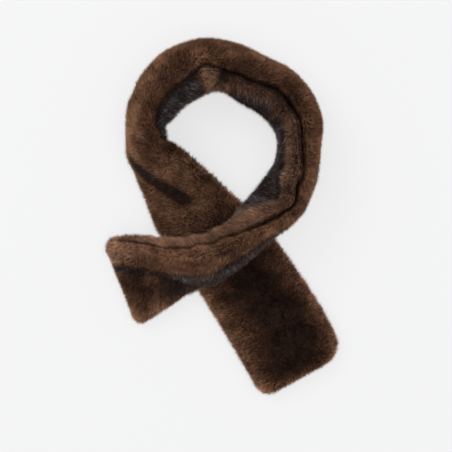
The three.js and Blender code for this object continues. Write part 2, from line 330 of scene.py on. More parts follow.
@dataclass
class StripForm:
    """The form of the whole wrap: how the strip bends, and how thick each panel is.

    It repeats the construction of the solids, so that the pile's tips lie on their surfaces.

    gap: between the panels at the seam, and between stretches. crush: how far the lowest pile gives.
    pressed, pressed_apart: least height of the upper side over what carries it, and what keeps the two
    sides apart there. under_clear, under_half, under_roundness: room above the flat end, half its width,
    and how square it is. corner_flat, corner_crossing: radii at the low and at the seam edge of an end, at
    least least_corner. pull_by, pull_over: how far the crossing end is skewed, over what length. tip_roll:
    length in which an end rounds off. crease_softness, shoulder_softness: lengths in which the slope turns.
    pile_roundness: exponent of the pillow. seam_depth: of the groove behind a sewn edge. widest_at: share
    of the thickness that its edge keeps. sway, sway_pitch: of a standing seam edge. seam_bend: where it
    bends most, how long and how far. stands_from: the slope at which it starts to stand, and over how many
    degrees more it does. least_thick: of a layer. draw_back: how fast and at most how far a deeper layer
    leaves the gap. end_fade: length at an end over which deeper layers draw in. bend_steps, row_step,
    lift_places: how finely sections are worked out. origin: the wrap's own, in the plan of LAY.
    """

    gap: float = 0.3
    crush: float = 2.5
    pressed: float = 12.0
    pressed_apart: float = 0.9
    under_clear: float = 1.1
    under_half: float = 70.0
    under_roundness: float = 6.0
    corner_flat: Pair = (20.0, 32.0)
    corner_crossing: Pair = (14.0, 15.0)
    least_corner: float = 2.0
    pull_by: float = 8.0
    pull_over: float = 95.0
    tip_roll: float = 12.0
    crease_softness: float = 22.0
    shoulder_softness: float = 34.0
    pile_roundness: float = 3.2
    seam_depth: float = 6.0
    widest_at: float = 0.13
    sway: float = 2.2
    sway_pitch: float = 15.0
    seam_bend: Triple = (505.0, 30.0, 6.0)
    stands_from: Pair = (85.0, 40.0)
    least_thick: float = 1.0
    draw_back: Pair = (0.2, 0.5)
    origin: Pair = (-3.0, -4.0)
    bend_steps: int = 64
    row_step: float = 1.0
    lift_places: int = 25
    end_fade: float = 30.0
    along: Array = field(init=False)
    length: float = field(init=False)

    def __post_init__(self) -> None:
        """Works out every section at even steps along the strip, once."""
        table = np.array(LAY, float)
        steps = np.hypot(*np.diff(table[:, :2], axis=0).T)
        self.along = np.concatenate([[0.0], np.cumsum(steps)])
        self.length = float(self.along[-1])
        self._table = table
        self._rows = np.linspace(0.0, self.length, int(self.length / self.row_step) + 1)
        self._columns = self._cubic(self._rows)
        self._bend()
        self._lift = self._lift_of()

    def _cubic(self, s: Array) -> Lay:
        """Every column of the table, on a cubic through its rows with the slopes between their neighbours.

        Args:
            s: distances along the strip.

        Returns:
            The columns by name, with head_x and head_y, the direction of the strip in plan.
        """
        i = np.clip(np.searchsorted(self.along, s, side="left") - 1, 0, len(self.along) - 2)
        last = len(self.along) - 1
        before = np.maximum(np.arange(last + 1) - 1, 0)
        after = np.minimum(np.arange(last + 1) + 1, last)
        apart = (self.along[after] - self.along[before])[:, None]
        slopes = (self._table[after] - self._table[before]) / apart
        span = (self.along[i + 1] - self.along[i])[:, None]
        t = ((s - self.along[i])[:, None]) / span
        a, b = self._table[i], self._table[i + 1]
        da, db = slopes[i] * span, slopes[i + 1] * span
        bend, turn = 3 * (b - a) - 2 * da - db, da + db - 2 * (b - a)
        value = a + t * (da + t * (bend + t * turn))
        rate = da + t * (2 * bend + 3 * t * turn)
        columns = {name: value[:, k] for k, name in enumerate(COLUMNS)}
        speed = np.hypot(rate[:, 0], rate[:, 1])
        columns["head_x"], columns["head_y"] = rate[:, 0] / speed, rate[:, 1] / speed
        return columns

    def _slope(self, lay: Lay, a: Array) -> Array:
        """Slope of the strip: it turns to lean at the crease and on to top at the shoulder, by smoothsteps.

        Args:
            lay: the columns there.
            a: distances from the low edge.

        Returns:
            Slopes in radians.
        """
        up = lay["lean"] * smooth((a - lay["crease"]) / self.crease_softness + 0.5)
        over = (lay["top"] - lay["lean"]) * smooth((a - lay["shoulder"]) / self.shoulder_softness + 0.5)
        return np.radians(up + over)

    def _bend(self) -> None:
        """Adds up the bend of every section: u towards the seam edge in plan and z up, from the low edge."""
        lay = {name: column[:, None] for name, column in self._columns.items()}
        share = (np.arange(self.bend_steps) + 0.5) / self.bend_steps
        slope = self._slope(lay, share[None, :] * lay["width"])
        step = lay["width"] / self.bend_steps
        start = np.zeros((len(self._rows), 1))
        u = np.hstack([start, np.cumsum(step * np.cos(slope), axis=1)])
        self._u = u - u[:, -1:] / 2.0
        self._z = np.hstack([start, np.cumsum(step * np.sin(slope), axis=1)])

    def lay_at(self, s: Array) -> Lay:
        """Every column at s, read off the even steps."""
        return {name: np.interp(s, self._rows, column) for name, column in self._columns.items()}

    def _line(self, s: Array, share: Array) -> tuple[Array, Array]:
        """The middle surface, by bilinear reading of the added-up bend.

        Args:
            s: distances along the strip.
            share: places across, as shares of the width.

        Returns:
            u, towards the seam edge in plan, and z, the height.
        """
        row = np.clip(s / self.length, 0.0, 1.0) * (len(self._rows) - 1)
        i = np.minimum(row.astype(int), len(self._rows) - 2)
        k = np.clip((share * self.bend_steps).astype(int), 0, self.bend_steps - 1)
        tr, tk = row - i, share * self.bend_steps - k

        def read(grid: Array) -> Array:
            """One grid's value, blended first across and then along."""
            near = grid[i, k] * (1 - tk) + grid[i, k + 1] * tk
            far = grid[i + 1, k] * (1 - tk) + grid[i + 1, k + 1] * tk
            return near * (1 - tr) + far * tr

        return read(self._u), read(self._z)

    def _thickness(self, side: Side, lay: Lay, s: Array, v: Array) -> Array:
        """Thickness of a panel before its edges are rounded, with its pinches and troughs.

        Args:
            side: which panel.
            lay: the columns there.
            s: distances along the strip.
            v: places across the panel.

        Returns:
            Thicknesses in millimetres.
        """
        thick = lay[side.word] + 0.0 * v
        for pinch in PINCHES:
            if pinch.side is side:
                thick = thick * (1 - pinch.cut(s, v))
        for trough in TROUGHS:
            if trough.side is side:
                thick = thick - trough.cut(s, v)
        return thick

    def _lift_of(self) -> Array:
        """Height that lifts each section until its lowest pile is crushed into what carries it.

        Returns:
            Heights at the even steps along the strip.
        """
        v = -np.cos(np.pi * np.arange(self.lift_places) / (self.lift_places - 1))[None, :]
        lay = {name: column[:, None] for name, column in self._columns.items()}
        s = self._rows[:, None] + 0.0 * v
        share = (1 + v) / 2 + 0.0 * s
        _, z = self._line(s, share)
        slope = self._slope(lay, share * lay["width"])
        lowest = np.full(len(self._rows), np.inf)
        for side in Side:
            round_off = self.widest_at + (1 - self.widest_at) * superellipse(v, self.pile_roundness)
            outside = self._thickness(side, lay, s, v) * round_off
            lowest = np.minimum(lowest, (z + side.value * outside * np.cos(slope)).min(axis=1))
        return np.maximum(self._columns["base"], 0.0) - lowest - self.crush

    def support(self, x: Array, y: Array, over: bool) -> Array:
        """Height that a stretch may not go below: the table, or the flat end's top with rounded sides.

        Args:
            x: places to the right, in the plan of LAY.
            y: places away from the ends, in the same plan.
            over: whether the stretch lies over the flat end.

        Returns:
            Heights above the surface.
        """
        if not over:
            return np.zeros_like(x)
        start, end = self._table[1, :2], self._table[3, :2]
        axis = (end - start) / np.hypot(*(end - start))
        ahead = (x - start[0]) * axis[0] + (y - start[1]) * axis[1]
        aside = (x - start[0]) * axis[1] - (y - start[1]) * axis[0]
        beneath = self.lay_at(self.along[1] + ahead)
        top = beneath["face"] + beneath["back"] - self.crush + self.under_clear
        return top * superellipse(np.clip(aside / self.under_half, -1, 1), self.under_roundness)

    def point(self, side: Side, over: bool, s: Array, w: Array, inset: Array | float) -> Array:
        """Places on a panel of the wrap.

        A section is a pillow on the bent middle surface: widest_at + (1 - widest_at) times a superellipse
        of the place across, times a superellipse of the nearness to the end. A deeper layer is the same
        pillow made smaller all round by its inset. What would sink into the support is pressed on it. Where
        the seam edge stands up, it sways in plan, and most so at seam_bend.

        Args:
            side: which panel.
            over: whether the stretch lies over the flat end.
            s: distances along the strip.
            w: places across the panel; past -1 and 1 the surface turns back into the seam gap.
            inset: depth below the pile's tips.

        Returns:
            Points in millimetres in the wrap's own frame, one row each.
        """
        s, w, inset = np.broadcast_arrays(np.asarray(s, float), w, inset)
        near = np.clip(1 - s / self.end_fade, 0, 1)
        far = np.clip(1 - (self.length - s) / self.end_fade, 0, 1)
        s = s + inset * (near**2 - far**2)
        lay = self.lay_at(s)
        v = np.where(np.abs(w) > 1, np.sign(w) * (2 - np.abs(w)), w)
        at_flat_end = s < self.length / 2
        from_end = np.minimum(s, self.length - s) - inset
        to_end = np.clip(1 - from_end / self.tip_roll, 0, 1)
        low_corner = np.where(at_flat_end, self.corner_flat[0], self.corner_crossing[0])
        seam_corner = np.where(at_flat_end, self.corner_flat[1], self.corner_crossing[1])
        low = self._corner_cut(from_end, low_corner - inset) + inset
        high = lay["width"] - self._corner_cut(from_end, seam_corner - inset) - inset
        thick = np.maximum(self._thickness(side, lay, s, v) - inset, self.least_thick)
        pile = superellipse(v, self.pile_roundness) * superellipse(to_end, self.pile_roundness)
        seam = self._closing((1 - np.abs(v)) * lay["width"] / 2) * self._closing(from_end)
        outside = thick * (self.widest_at + (1 - self.widest_at) * pile)
        most = self.draw_back[1] * thick * self.widest_at
        rise = np.minimum(self.draw_back[0] * np.maximum(inset, 0), most)
        inside = self.gap / 2 + rise + (thick * self.widest_at - rise) * (1 - seam)
        offset = side.value * np.where(np.abs(w) > 1, inside, outside)
        a = low + (1 + v) / 2 * (high - low)
        u, z = self._line(s, a / lay["width"])
        slope = self._slope(lay, a)
        bend_at, bend_long, bend_by = self.seam_bend
        sway = self.sway * lattice_noise(s, 0.0 * s, self.sway_pitch, Seed.SEAM_SWAY)
        sway += bend_by * bell((s - bend_at) / bend_long)
        u += sway * smooth(2 * v - 1) * self.stands(lay) - offset * np.sin(slope)
        z += offset * np.cos(slope)
        pull = self.pull_by * smooth((s - self.length) / self.pull_over + 1) * v
        x = lay["x"] + u * lay["head_y"] + pull * lay["head_x"]
        y = lay["y"] - u * lay["head_x"] + pull * lay["head_y"]
        depth = (offset + lay["back"]) / (lay["back"] + lay["face"])
        pressed = self.pressed * depth * np.maximum(np.cos(slope), 0) + side.value * self.pressed_apart
        least = self.support(x, y, over) + np.maximum(pressed, 0)
        z = np.maximum(z + np.interp(s, self._rows, self._lift), least)
        return np.stack([x - self.origin[0], y - self.origin[1], z], axis=-1)

    def stands(self, lay: Lay) -> Array:
        """How far the seam edge stands up or turns over, from 0 on a flat stretch to 1."""
        return smooth((lay["lean"] + lay["top"] - self.stands_from[0]) / self.stands_from[1])

    def _closing(self, depth: Array) -> Array:
        """How far the seam gap has closed at a depth behind the sewn edge: a quarter ellipse, 0 to 1."""
        return np.sqrt(1.0 - (1.0 - np.clip(depth / self.seam_depth, 0.0, 1.0)) ** 2)

    def _corner_cut(self, from_end: Array, radius: Array) -> Array:
        """What a rounded corner takes off the width: radius minus the height of a circle there.

        Args:
            from_end: distances from the end.
            radius: radii of the corner.

        Returns:
            Distances in from the edge.
        """
        radius = np.maximum(radius, self.least_corner)
        e = np.clip(from_end, 0, radius)
        return radius - np.sqrt(np.maximum(radius**2 - (radius - e) ** 2, 0))


@dataclass(frozen=True)
class FurFinish:
    """Colours of one fur strip, as linear red, green and blue, and how they meet on a hair.

    root, and then deep, body or lit by how much painted light the hair has: deep is the colour of painted
    shade, lit that of painted light, and frost the grey-blue painted sheen on some tips. body_in, lit_in:
    ranges of that painted light in which body and lit come in. rise_in, sheen_in: ranges of the height on
    the hair in which it leaves the root's colour and turns to the painted sheen. patch, fleck: depths of the
    mottling.
    tint, rough: least and greatest brightness and roughness of a hair. The fields named under are those of
    the dense underfur.
    """

    name: str
    root: Triple
    deep: Triple
    body: Triple
    lit: Triple
    frost: Triple = (0.60, 0.58, 0.60)
    body_in: Pair = (0.0, 0.4)
    lit_in: Pair = (0.3, 1.0)
    rise_in: Pair = (0.0, 0.6)
    sheen_in: Pair = (0.35, 1.0)
    patch: float = 0.22
    fleck: float = 0.16
    tint: Pair = (0.55, 1.45)
    rough: Pair = (0.4, 0.62)
    specular: float = 0.12
    under_mottle: float = 0.3
    under_shade: float = 0.6
    under_level: Pair = (0.5, 1.5)
    under_rough: float = 0.85
    under_specular: float = 0.1
    under_grain: float = 900.0
    under_bump: float = 0.001


# Root, deep, body and lit colours of each strip: deep is the colour of painted shade, lit that of painted
# light.
FACE_FINISH = FurFinish(
    "Face_Fur", (0.024, 0.012, 0.008), (0.042, 0.020, 0.013), (0.190, 0.088, 0.048), (0.60, 0.325, 0.19)
)
BACK_FINISH = FurFinish(
    "Back_Fur", (0.018, 0.011, 0.009), (0.032, 0.018, 0.014), (0.165, 0.080, 0.048), (0.58, 0.325, 0.20)
)
FINISHES = {Side.FACE: FACE_FINISH, Side.BACK: BACK_FINISH}
WHOLE = (0.0, 1.0)
MOTTLES = (("Patch", 55.0, 2.0), ("Fleck", 260.0, 3.0))
MOTTLE_FROM = (0.3, 0.7)


def new_node(tree: Tree, kind: str, **values: object) -> bpy.types.Node:
    """Adds a shader node and sets its properties.

    Args:
        tree: the node tree that gets it.
        kind: the node's type name without "ShaderNode".
        values: properties to set on it.

    Returns:
        The new node.
    """
    node = tree.nodes.new("ShaderNode" + kind)
    for name, value in values.items():
        setattr(node, name, value)
    return node


def new_material(name: str) -> tuple[bpy.types.Material, Tree, bpy.types.Node]:
    """Makes a material with nodes, and returns it with its tree and its shader."""
    material = bpy.data.materials.new(name)
    material.use_nodes = True
    return material, material.node_tree, material.node_tree.nodes["Principled BSDF"]


def mix_colours(tree: Tree, factor: Socket, low: Socket | Triple, high: Socket | Triple) -> Socket:
    """Mixes two colours.

    Args:
        tree: the node tree.
        factor: socket of the share of the second colour.
        low: the first colour, a socket or a plain colour.
        high: the second.

    Returns:
        The mixed colour's socket.
    """
    node = new_node(tree, "Mix", data_type="RGBA")
    tree.links.new(factor, node.inputs[0])
    for socket, value in ((node.inputs[6], low), (node.inputs[7], high)):
        if isinstance(value, Socket):
            tree.links.new(value, socket)
        else:
            socket.default_value = (*value, 1.0)
    return node.outputs[2]


def spread_of(tree: Tree, value: Socket, low: Pair, high: Pair) -> Socket:
    """Maps a value from the range low to the range high, by a smoothstep and clamped.

    Args:
        tree: the node tree.
        value: socket of the value.
        low: the range that it comes from.
        high: the range that it goes to.

    Returns:
        The mapped value's socket.
    """
    node = new_node(tree, "MapRange", interpolation_type="SMOOTHSTEP")
    tree.links.new(value, node.inputs["Value"])
    for name, number in zip(("From Min", "From Max", "To Min", "To Max"), (*low, *high)):
        node.inputs[name].default_value = number
    return node.outputs["Result"]


def make_mottle_group() -> bpy.types.ShaderNodeTree:
    """Builds the shared node group that mottles the fur, as soft patches and finer flecks.

    Returns:
        A group with inputs Patch and Fleck, the depth of each, and the output Shade, about 1.
    """
    group = bpy.data.node_groups.new("Fur_Mottle", "ShaderNodeTree")
    for name, _, _ in MOTTLES:
        group.interface.new_socket(name, in_out="INPUT", socket_type="NodeSocketFloat")
    group.interface.new_socket("Shade", in_out="OUTPUT", socket_type="NodeSocketFloat")
    inputs = group.nodes.new("NodeGroupInput")
    outputs = group.nodes.new("NodeGroupOutput")
    place = new_node(group, "TexCoord")
    total = None
    for name, scale, detail in MOTTLES:
        noise = new_node(group, "TexNoise")
        noise.inputs["Scale"].default_value = scale
        noise.inputs["Detail"].default_value = detail
        group.links.new(place.outputs["Object"], noise.inputs["Vector"])
        signed = spread_of(group, noise.outputs["Fac"], MOTTLE_FROM, (-1.0, 1.0))
        part = new_node(group, "Math", operation="MULTIPLY_ADD")
        group.links.new(signed, part.inputs[0])
        group.links.new(inputs.outputs[name], part.inputs[1])
        if total is None:
            part.inputs[2].default_value = 1.0
        else:
            group.links.new(total, part.inputs[2])
        total = part.outputs[0]
    group.links.new(total, outputs.inputs["Shade"])
    return group


class FurMaterials:
    """Makes and keeps the materials of the pile and of the dense underfur on the skin."""

    def __init__(self) -> None:
        """Builds the shared group first, because both kinds of material use it."""
        self.mottle = make_mottle_group()
        self.pile = {side: self._pile(FINISHES[side]) for side in Side}
        self.skin = {side: self._skin(FINISHES[side]) for side in Side}

    def _shade(self, tree: Tree, patch: float, fleck: float) -> Socket:
        """Places the mottling group in a material.

        Args:
            tree: the material's node tree.
            patch: depth of the patches.
            fleck: depth of the flecks.

        Returns:
            The shade's socket.
        """
        node = new_node(tree, "Group")
        node.node_tree = self.mottle
        node.inputs["Patch"].default_value = patch
        node.inputs["Fleck"].default_value = fleck
        return node.outputs["Shade"]

    def _pile(self, finish: FurFinish) -> bpy.types.Material:
        """Material of the hairs. It reads the attribute hair: height on the hair, chance, painted light and
        shade (light), and painted sheen (frost).

        Args:
            finish: the strip's colours.

        Returns:
            The material.
        """
        material, tree, shader = new_material(finish.name)
        hair = new_node(tree, "Attribute", attribute_name="hair")
        parts = new_node(tree, "SeparateColor")
        tree.links.new(hair.outputs["Color"], parts.inputs[0])
        height, chance, light = parts.outputs
        # From deep, the painted shade colour, through body to lit, the painted light colour, by the hair's
        # painted light.
        body = mix_colours(tree, spread_of(tree, light, finish.body_in, WHOLE), finish.deep, finish.body)
        body = mix_colours(tree, spread_of(tree, light, finish.lit_in, WHOLE), body, finish.lit)
        rise = spread_of(tree, height, finish.rise_in, WHOLE)
        colour = mix_colours(tree, rise, finish.root, body)
        # Painted sheen, grey-blue, on the tips of the hairs that carry it.
        tip = spread_of(tree, height, finish.sheen_in, WHOLE)
        sheen_share = new_node(tree, "Math", operation="MULTIPLY")
        tree.links.new(tip, sheen_share.inputs[0])
        tree.links.new(hair.outputs["Alpha"], sheen_share.inputs[1])
        colour = mix_colours(tree, sheen_share.outputs[0], colour, finish.frost)
        shade = new_node(tree, "Math", operation="MULTIPLY")
        tree.links.new(self._shade(tree, finish.patch, finish.fleck), shade.inputs[0])
        tree.links.new(spread_of(tree, chance, WHOLE, finish.tint), shade.inputs[1])
        tint = new_node(tree, "VectorMath", operation="SCALE")
        tree.links.new(colour, tint.inputs[0])
        tree.links.new(shade.outputs[0], tint.inputs["Scale"])
        tree.links.new(tint.outputs[0], shader.inputs["Base Color"])
        tree.links.new(spread_of(tree, chance, WHOLE, finish.rough), shader.inputs["Roughness"])
        shader.inputs["Specular IOR Level"].default_value = finish.specular
        return material

    def _skin(self, finish: FurFinish) -> bpy.types.Material:
        """Material of the dense underfur that covers the skin: dark, mottled, with a fine grain.

        Args:
            finish: the strip's colours.

        Returns:
            The material.
        """
        material, tree, shader = new_material(finish.name.replace("Fur", "Underfur"))
        shade = self._shade(tree, finish.under_mottle, finish.under_mottle)
        low = tuple(finish.under_shade * part for part in finish.root)
        level = spread_of(tree, shade, finish.under_level, WHOLE)
        tree.links.new(mix_colours(tree, level, low, finish.deep), shader.inputs["Base Color"])
        shader.inputs["Specular IOR Level"].default_value = finish.under_specular
        shader.inputs["Roughness"].default_value = finish.under_rough
        grain = new_node(tree, "TexNoise")
        grain.inputs["Scale"].default_value = finish.under_grain
        place = new_node(tree, "TexCoord")
        tree.links.new(place.outputs["Object"], grain.inputs["Vector"])
        bump = new_node(tree, "Bump")
        bump.inputs["Distance"].default_value = finish.under_bump
        tree.links.new(grain.outputs["Fac"], bump.inputs["Height"])
        tree.links.new(bump.outputs["Normal"], shader.inputs["Normal"])
        return material


def put_mesh(name: str, points: Array, faces: Array, corners: int) -> bpy.types.Object:
    """Puts points and equal-sided faces into a new mesh object at the origin.

    Args:
        name: the object's and the mesh's name.
        points: places in millimetres, one row each.
        faces: point numbers, one row for each face.
        corners: corners of a face.

    Returns:
        The linked object.
    """
    mesh = bpy.data.meshes.new(name)
    mesh.vertices.add(len(points))
    mesh.vertices.foreach_set("co", (points * MM).astype(np.float32).ravel())
    mesh.loops.add(faces.size)
    mesh.loops.foreach_set("vertex_index", faces.astype(np.int32).ravel())
    mesh.polygons.add(len(faces))
    mesh.polygons.foreach_set("loop_start", np.arange(0, faces.size, corners, dtype=np.int32))
    mesh.update(calc_edges=True)
    mesh.validate()
    piece = bpy.data.objects.new(name, mesh)
    bpy.context.scene.collection.objects.link(piece)
    return piece


@dataclass(frozen=True)
class HairKind:
    """A sort of hair.

    per_mm2: how many. tips: least and greatest depth of the tips below the surface. width: at the root.
    bends: levels below the tip. lean: how far a tuft leans. clump: how far tips close up to their tuft's
    middle. stray: chance in that. frosted: share of the hairs that take the painted sheen. paler: added
    lightness.
    """

    per_mm2: float
    tips: Pair
    width: Pair
    bends: int
    lean: float
    clump: float
    stray: float
    sheen_share: float
    paler: float = 0.0


UNDERFUR = HairKind(1.15, (0.4, 2.8), (0.45, 0.75), 1, 0.8, 0.2, 0.6, 0.0)
COAT = HairKind(0.47, (-1.6, 0.8), (0.36, 0.58), 2, 1.3, 0.35, 0.6, 0.1)
GUARD = HairKind(0.22, (-3.0, -0.4), (0.18, 0.30), 2, 1.8, 0.3, 1.1, 0.55, 0.15)


@dataclass(frozen=True)
class Nap:
    """How the tips lie.

    along, across: how far they lean along the strip and away from its seam edge. least, flat_until,
    grows_over: the share of that on the flat end, where it ends, and where it is whole. pitch, uneven:
    patches in it, along and across. over_seam, seam_pitch: the lean over a standing seam.
    """

    along: float = 3.0
    across: float = 1.4
    least: float = 0.35
    flat_until: float = 170.0
    grows_over: float = 80.0
    pitch: float = 16.0
    uneven: Pair = (0.6, 1.2)
    over_seam: float = 0.9
    seam_pitch: float = 6.0


@dataclass(frozen=True)
class PileLight:
    """What makes a hair lighter or darker before the zones do: painted light and painted shade, and its
    painted sheen.

    up: the painted light that a top adds; up_in: how far below level it begins, and over what rise of the
    normal. rim: the painted light that the edge of a flat stretch adds, from rim_from on over rim_over, and
    by an end, within rim_end over rim_end_over millimetres. edge: the painted shade that the turn into the
    seam gap takes, from edge_at on over edge_over, with its waver. patch, broad: depth and pitch of the
    patches.
    own: what a tuft adds. frost: painted sheen on the sides of a back panel, round sheen_at of the normal
    and within sheen_reach.
    """

    base: float = 0.46
    up: float = 0.32
    up_in: Pair = (0.3, 1.1)
    rim: float = 0.15
    rim_from: float = 0.72
    rim_over: float = 0.2
    rim_end: float = 16.0
    rim_end_over: float = 14.0
    edge: float = 0.45
    edge_at: float = 0.998
    edge_over: float = 0.04
    edge_waver: Pair = (0.012, 7.0)
    patch: Pair = (0.12, 10.0)
    broad: Pair = (0.14, 26.0)
    own: float = 0.09
    frost: float = 0.25
    sheen_at: float = 0.1
    sheen_reach: float = 0.4


@dataclass
class FurPanel:
    """One stretch of one fur strip: the skin with its underfur, and the hairs that stand on it.

    skin_depth, root_depth: of the skin's outside and of the hairs' roots below the pile's tips. groove,
    groove_steps: how far in w the pile turns into the seam gap, and in which steps. hidden_share,
    hidden_within, facing_down: share of the hairs kept where the pile lies this near to what carries it and
    its normal points down by this much. half_width: millimetres for one unit of w, for the patches. tuft:
    size of a tuft. seam_from, seam_over, seam_fill, seam_pale: where the pile beside a standing seam
    begins, over what width, how much longer it is, and how much paler its roots are painted, as painted
    light. ring_step, ring_count: the skin's grid. patch_step, patch_count: the grid that hairs are scattered
    by. rows_by_end: more rows near an end. chance: spread of the brightness by tuft and by hair. bow:
    exponent of a hair's bend. taper: of its width. unfrosted: share of the painted sheen that other hairs
    take. clear: least height above the surface.
    """

    form: StripForm
    side: Side
    stretch: Stretch
    materials: FurMaterials
    nap: Nap = Nap()
    lights: PileLight = PileLight()
    skin_depth: float = 4.5
    skin_thickness: float = 1.6
    root_depth: float = 5.4
    groove: float = 0.14
    groove_steps: tuple[float, ...] = (0.3, 0.65, 1.0)
    hidden_share: float = 0.3
    hidden_within: float = 3.0
    facing_down: float = -0.5
    half_width: float = 50.0
    tuft: float = 2.6
    seam_from: float = 0.9
    seam_over: float = 0.1
    seam_fill: float = 2.2
    seam_pale: float = 0.8
    ring_step: float = 4.0
    ring_count: int = 40
    patch_step: float = 2.0
    patch_count: int = 64
    rows_by_end: tuple[float, ...] = (0.4, 1.2, 2.5, 4.5, 7.0, 10.0)
    chance: Pair = (0.17, 0.14)
    bow: float = 1.4
    taper: float = 0.3
    sheen_elsewhere: float = 0.1
    clear: float = 0.05

    @property
    def node(self) -> str:
        """Name of the solid that this panel stands for."""
        return f"{self.stretch.name}_{self.side.word}"

    @property
    def ends(self) -> Pair:
        """Where the panel starts and stops along the strip, half a gap clear of its neighbours."""
        half = self.form.gap / 2
        start = self.stretch.start + (half if self.stretch.start > 0 else 0)
        stop = min(self.stretch.stop, self.form.length)
        return start, stop - (half if stop < self.form.length else 0)

    def _across(self, count: int) -> Array:
        """Places across the panel: minus the cosine of even steps, with the turn into the seam gap.

        Args:
            count: places on the outside.

        Returns:
            Values of w.
        """
        outside = -np.cos(np.linspace(0, np.pi, count))
        turned = 1 + np.array(self.groove_steps) * self.groove
        return np.concatenate([-turned[::-1], outside, turned])

    def _rows(self, step: float) -> Array:
        """Distances along the strip, closer together by an end of the wrap.

        Args:
            step: how far apart, in millimetres.

        Returns:
            Values of s.
        """
        start, stop = self.ends
        rows = np.linspace(start, stop, max(int((stop - start) / step), 2) + 1)
        tip = np.array(self.rows_by_end)
        near = np.concatenate([tip, self.form.length - tip])
        near = near[(near > start) & (near < stop)]
        return np.unique(np.concatenate([rows, near]))

    def _at(self, s: Array, w: Array, inset: Array | float) -> Array:
        """Places on this panel, by distance along, place across and depth below the tips."""
        return self.form.point(self.side, self.stretch.over, s, w, inset)

    def _grid(self, rows: Array, across: Array, inset: float) -> Array:
        """Points of one layer on a grid of rows and places across."""
        return self._at(rows[:, None], across[None, :], inset)

    def build_skin(self) -> tuple[bpy.types.Object, Pair]:
        """Builds the skin: two layers of the pillow, joined round their rim into a thin closed shell.

        Returns:
            The skin, and the width and length in metres that it has when it is laid out flat.
        """
        rows, across = self._rows(self.ring_step), self._across(self.ring_count)
        outer = self._grid(rows, across, self.skin_depth)
        inner = self._grid(rows, across, self.skin_depth + self.skin_thickness)
        n, m = len(rows), len(across)
        number = np.arange(n * m).reshape(n, m)
        corners = [number[:-1, :-1], number[:-1, 1:], number[1:, 1:], number[1:, :-1]]
        quads = np.stack(corners, -1).reshape(-1, 4)
        loop = np.concatenate([number[0, :], number[1:, -1], number[-1, -2::-1], number[-2:0:-1, 0]])
        rim = np.stack([loop, np.roll(loop, -1), np.roll(loop, -1) + n * m, loop + n * m], -1)
        faces = np.concatenate([quads, quads[:, ::-1] + n * m, rim[:, ::-1]])
        if self.side is Side.BACK:
            faces = faces[:, ::-1]
        points = np.concatenate([outer.reshape(-1, 3), inner.reshape(-1, 3)])
        skin = put_mesh(f"{self.node}_skin", points, faces, 4)
        skin.data.polygons.foreach_set("use_smooth", np.ones(len(skin.data.polygons), bool))
        skin.data.materials.append(self.materials.skin[self.side])
        across_mm = np.linalg.norm(np.diff(outer, axis=1), axis=-1).sum(axis=1).mean()
        along_mm = np.linalg.norm(np.diff(outer, axis=0), axis=-1).sum(axis=0).mean()
        return skin, (float(across_mm) * MM, float(along_mm) * MM)

    def _scatter(self, per_mm2: float, rng: np.random.Generator) -> tuple[Array, ...]:
        """Scatters hairs evenly over the surface of the pile.

        Every cell of a grid gets hairs by its area; where the pile is pressed on what carries it, fewer.

        Args:
            per_mm2: hairs for each square millimetre.
            rng: the source of chance.

        Returns:
            The hairs' distances along, places across, surface normals, and directions along the strip.
        """
        rows, across = self._rows(self.patch_step), self._across(self.patch_count)
        grid = self._grid(rows, across, 0.0)
        du = grid[:-1, 1:] - grid[:-1, :-1]
        ds = grid[1:, :-1] - grid[:-1, :-1]
        normal = np.cross(du, ds) * -self.side.value
        area = np.linalg.norm(normal, axis=-1)
        middle = (grid[:-1, :-1] + grid[1:, 1:]) / 2
        normal /= np.maximum(area, 1e-9)[..., None]
        x, y = middle[..., 0] + self.form.origin[0], middle[..., 1] + self.form.origin[1]
        carrier = self.form.support(x, y, self.stretch.over)
        hidden = (normal[..., 2] < self.facing_down) & (middle[..., 2] < carrier + self.hidden_within)
        area = area * np.where(hidden, self.hidden_share, 1.0)
        number = rng.poisson(area * per_mm2)
        i, j = np.nonzero(number)
        i, j = np.repeat(i, number[i, j]), np.repeat(j, number[i, j])
        s = rows[i] + rng.random(len(i)) * (rows[i + 1] - rows[i])
        w = across[j] + rng.random(len(i)) * (across[j + 1] - across[j])
        ahead = ds / np.maximum(np.linalg.norm(ds, axis=-1), 1e-9)[..., None]
        return s, w, normal[i, j], ahead[i, j]

    def _nap(self, s: Array, w: Array) -> tuple[Array, Array]:
        """How far the tips lean.

        They lean less on the flat end, unevenly in patches, and away from the seam edge but beside it, where
        they close over the seam.

        Args:
            s: distances along the strip.
            w: places across the panel.

        Returns:
            Millimetres along the strip, and towards its seam edge.
        """
        nap, a = self.nap, w * self.half_width
        share = nap.least + (1 - nap.least) * smooth((s - nap.flat_until) / nap.grows_over)
        along = nap.along * share * (1 + nap.uneven[0] * lattice_noise(s, a, nap.pitch, Seed.NAP_ALONG))
        across = -nap.across * share * (1 + nap.uneven[1] * lattice_noise(s, a, nap.pitch, Seed.NAP_ACROSS))
        beside = self._beside_seam(s, w)
        over = nap.over_seam * (1 + lattice_noise(s, a, nap.seam_pitch, Seed.SEAM_NAP))
        return along, across * (1 - beside) + beside * over

    def _beside_seam(self, s: Array, w: Array) -> Array:
        """Share in which a place lies beside a standing seam, on the outside of the panel."""
        stands = self.form.stands(self.form.lay_at(s))
        return smooth((w - self.seam_from) / self.seam_over) * (w <= 1.0) * stands

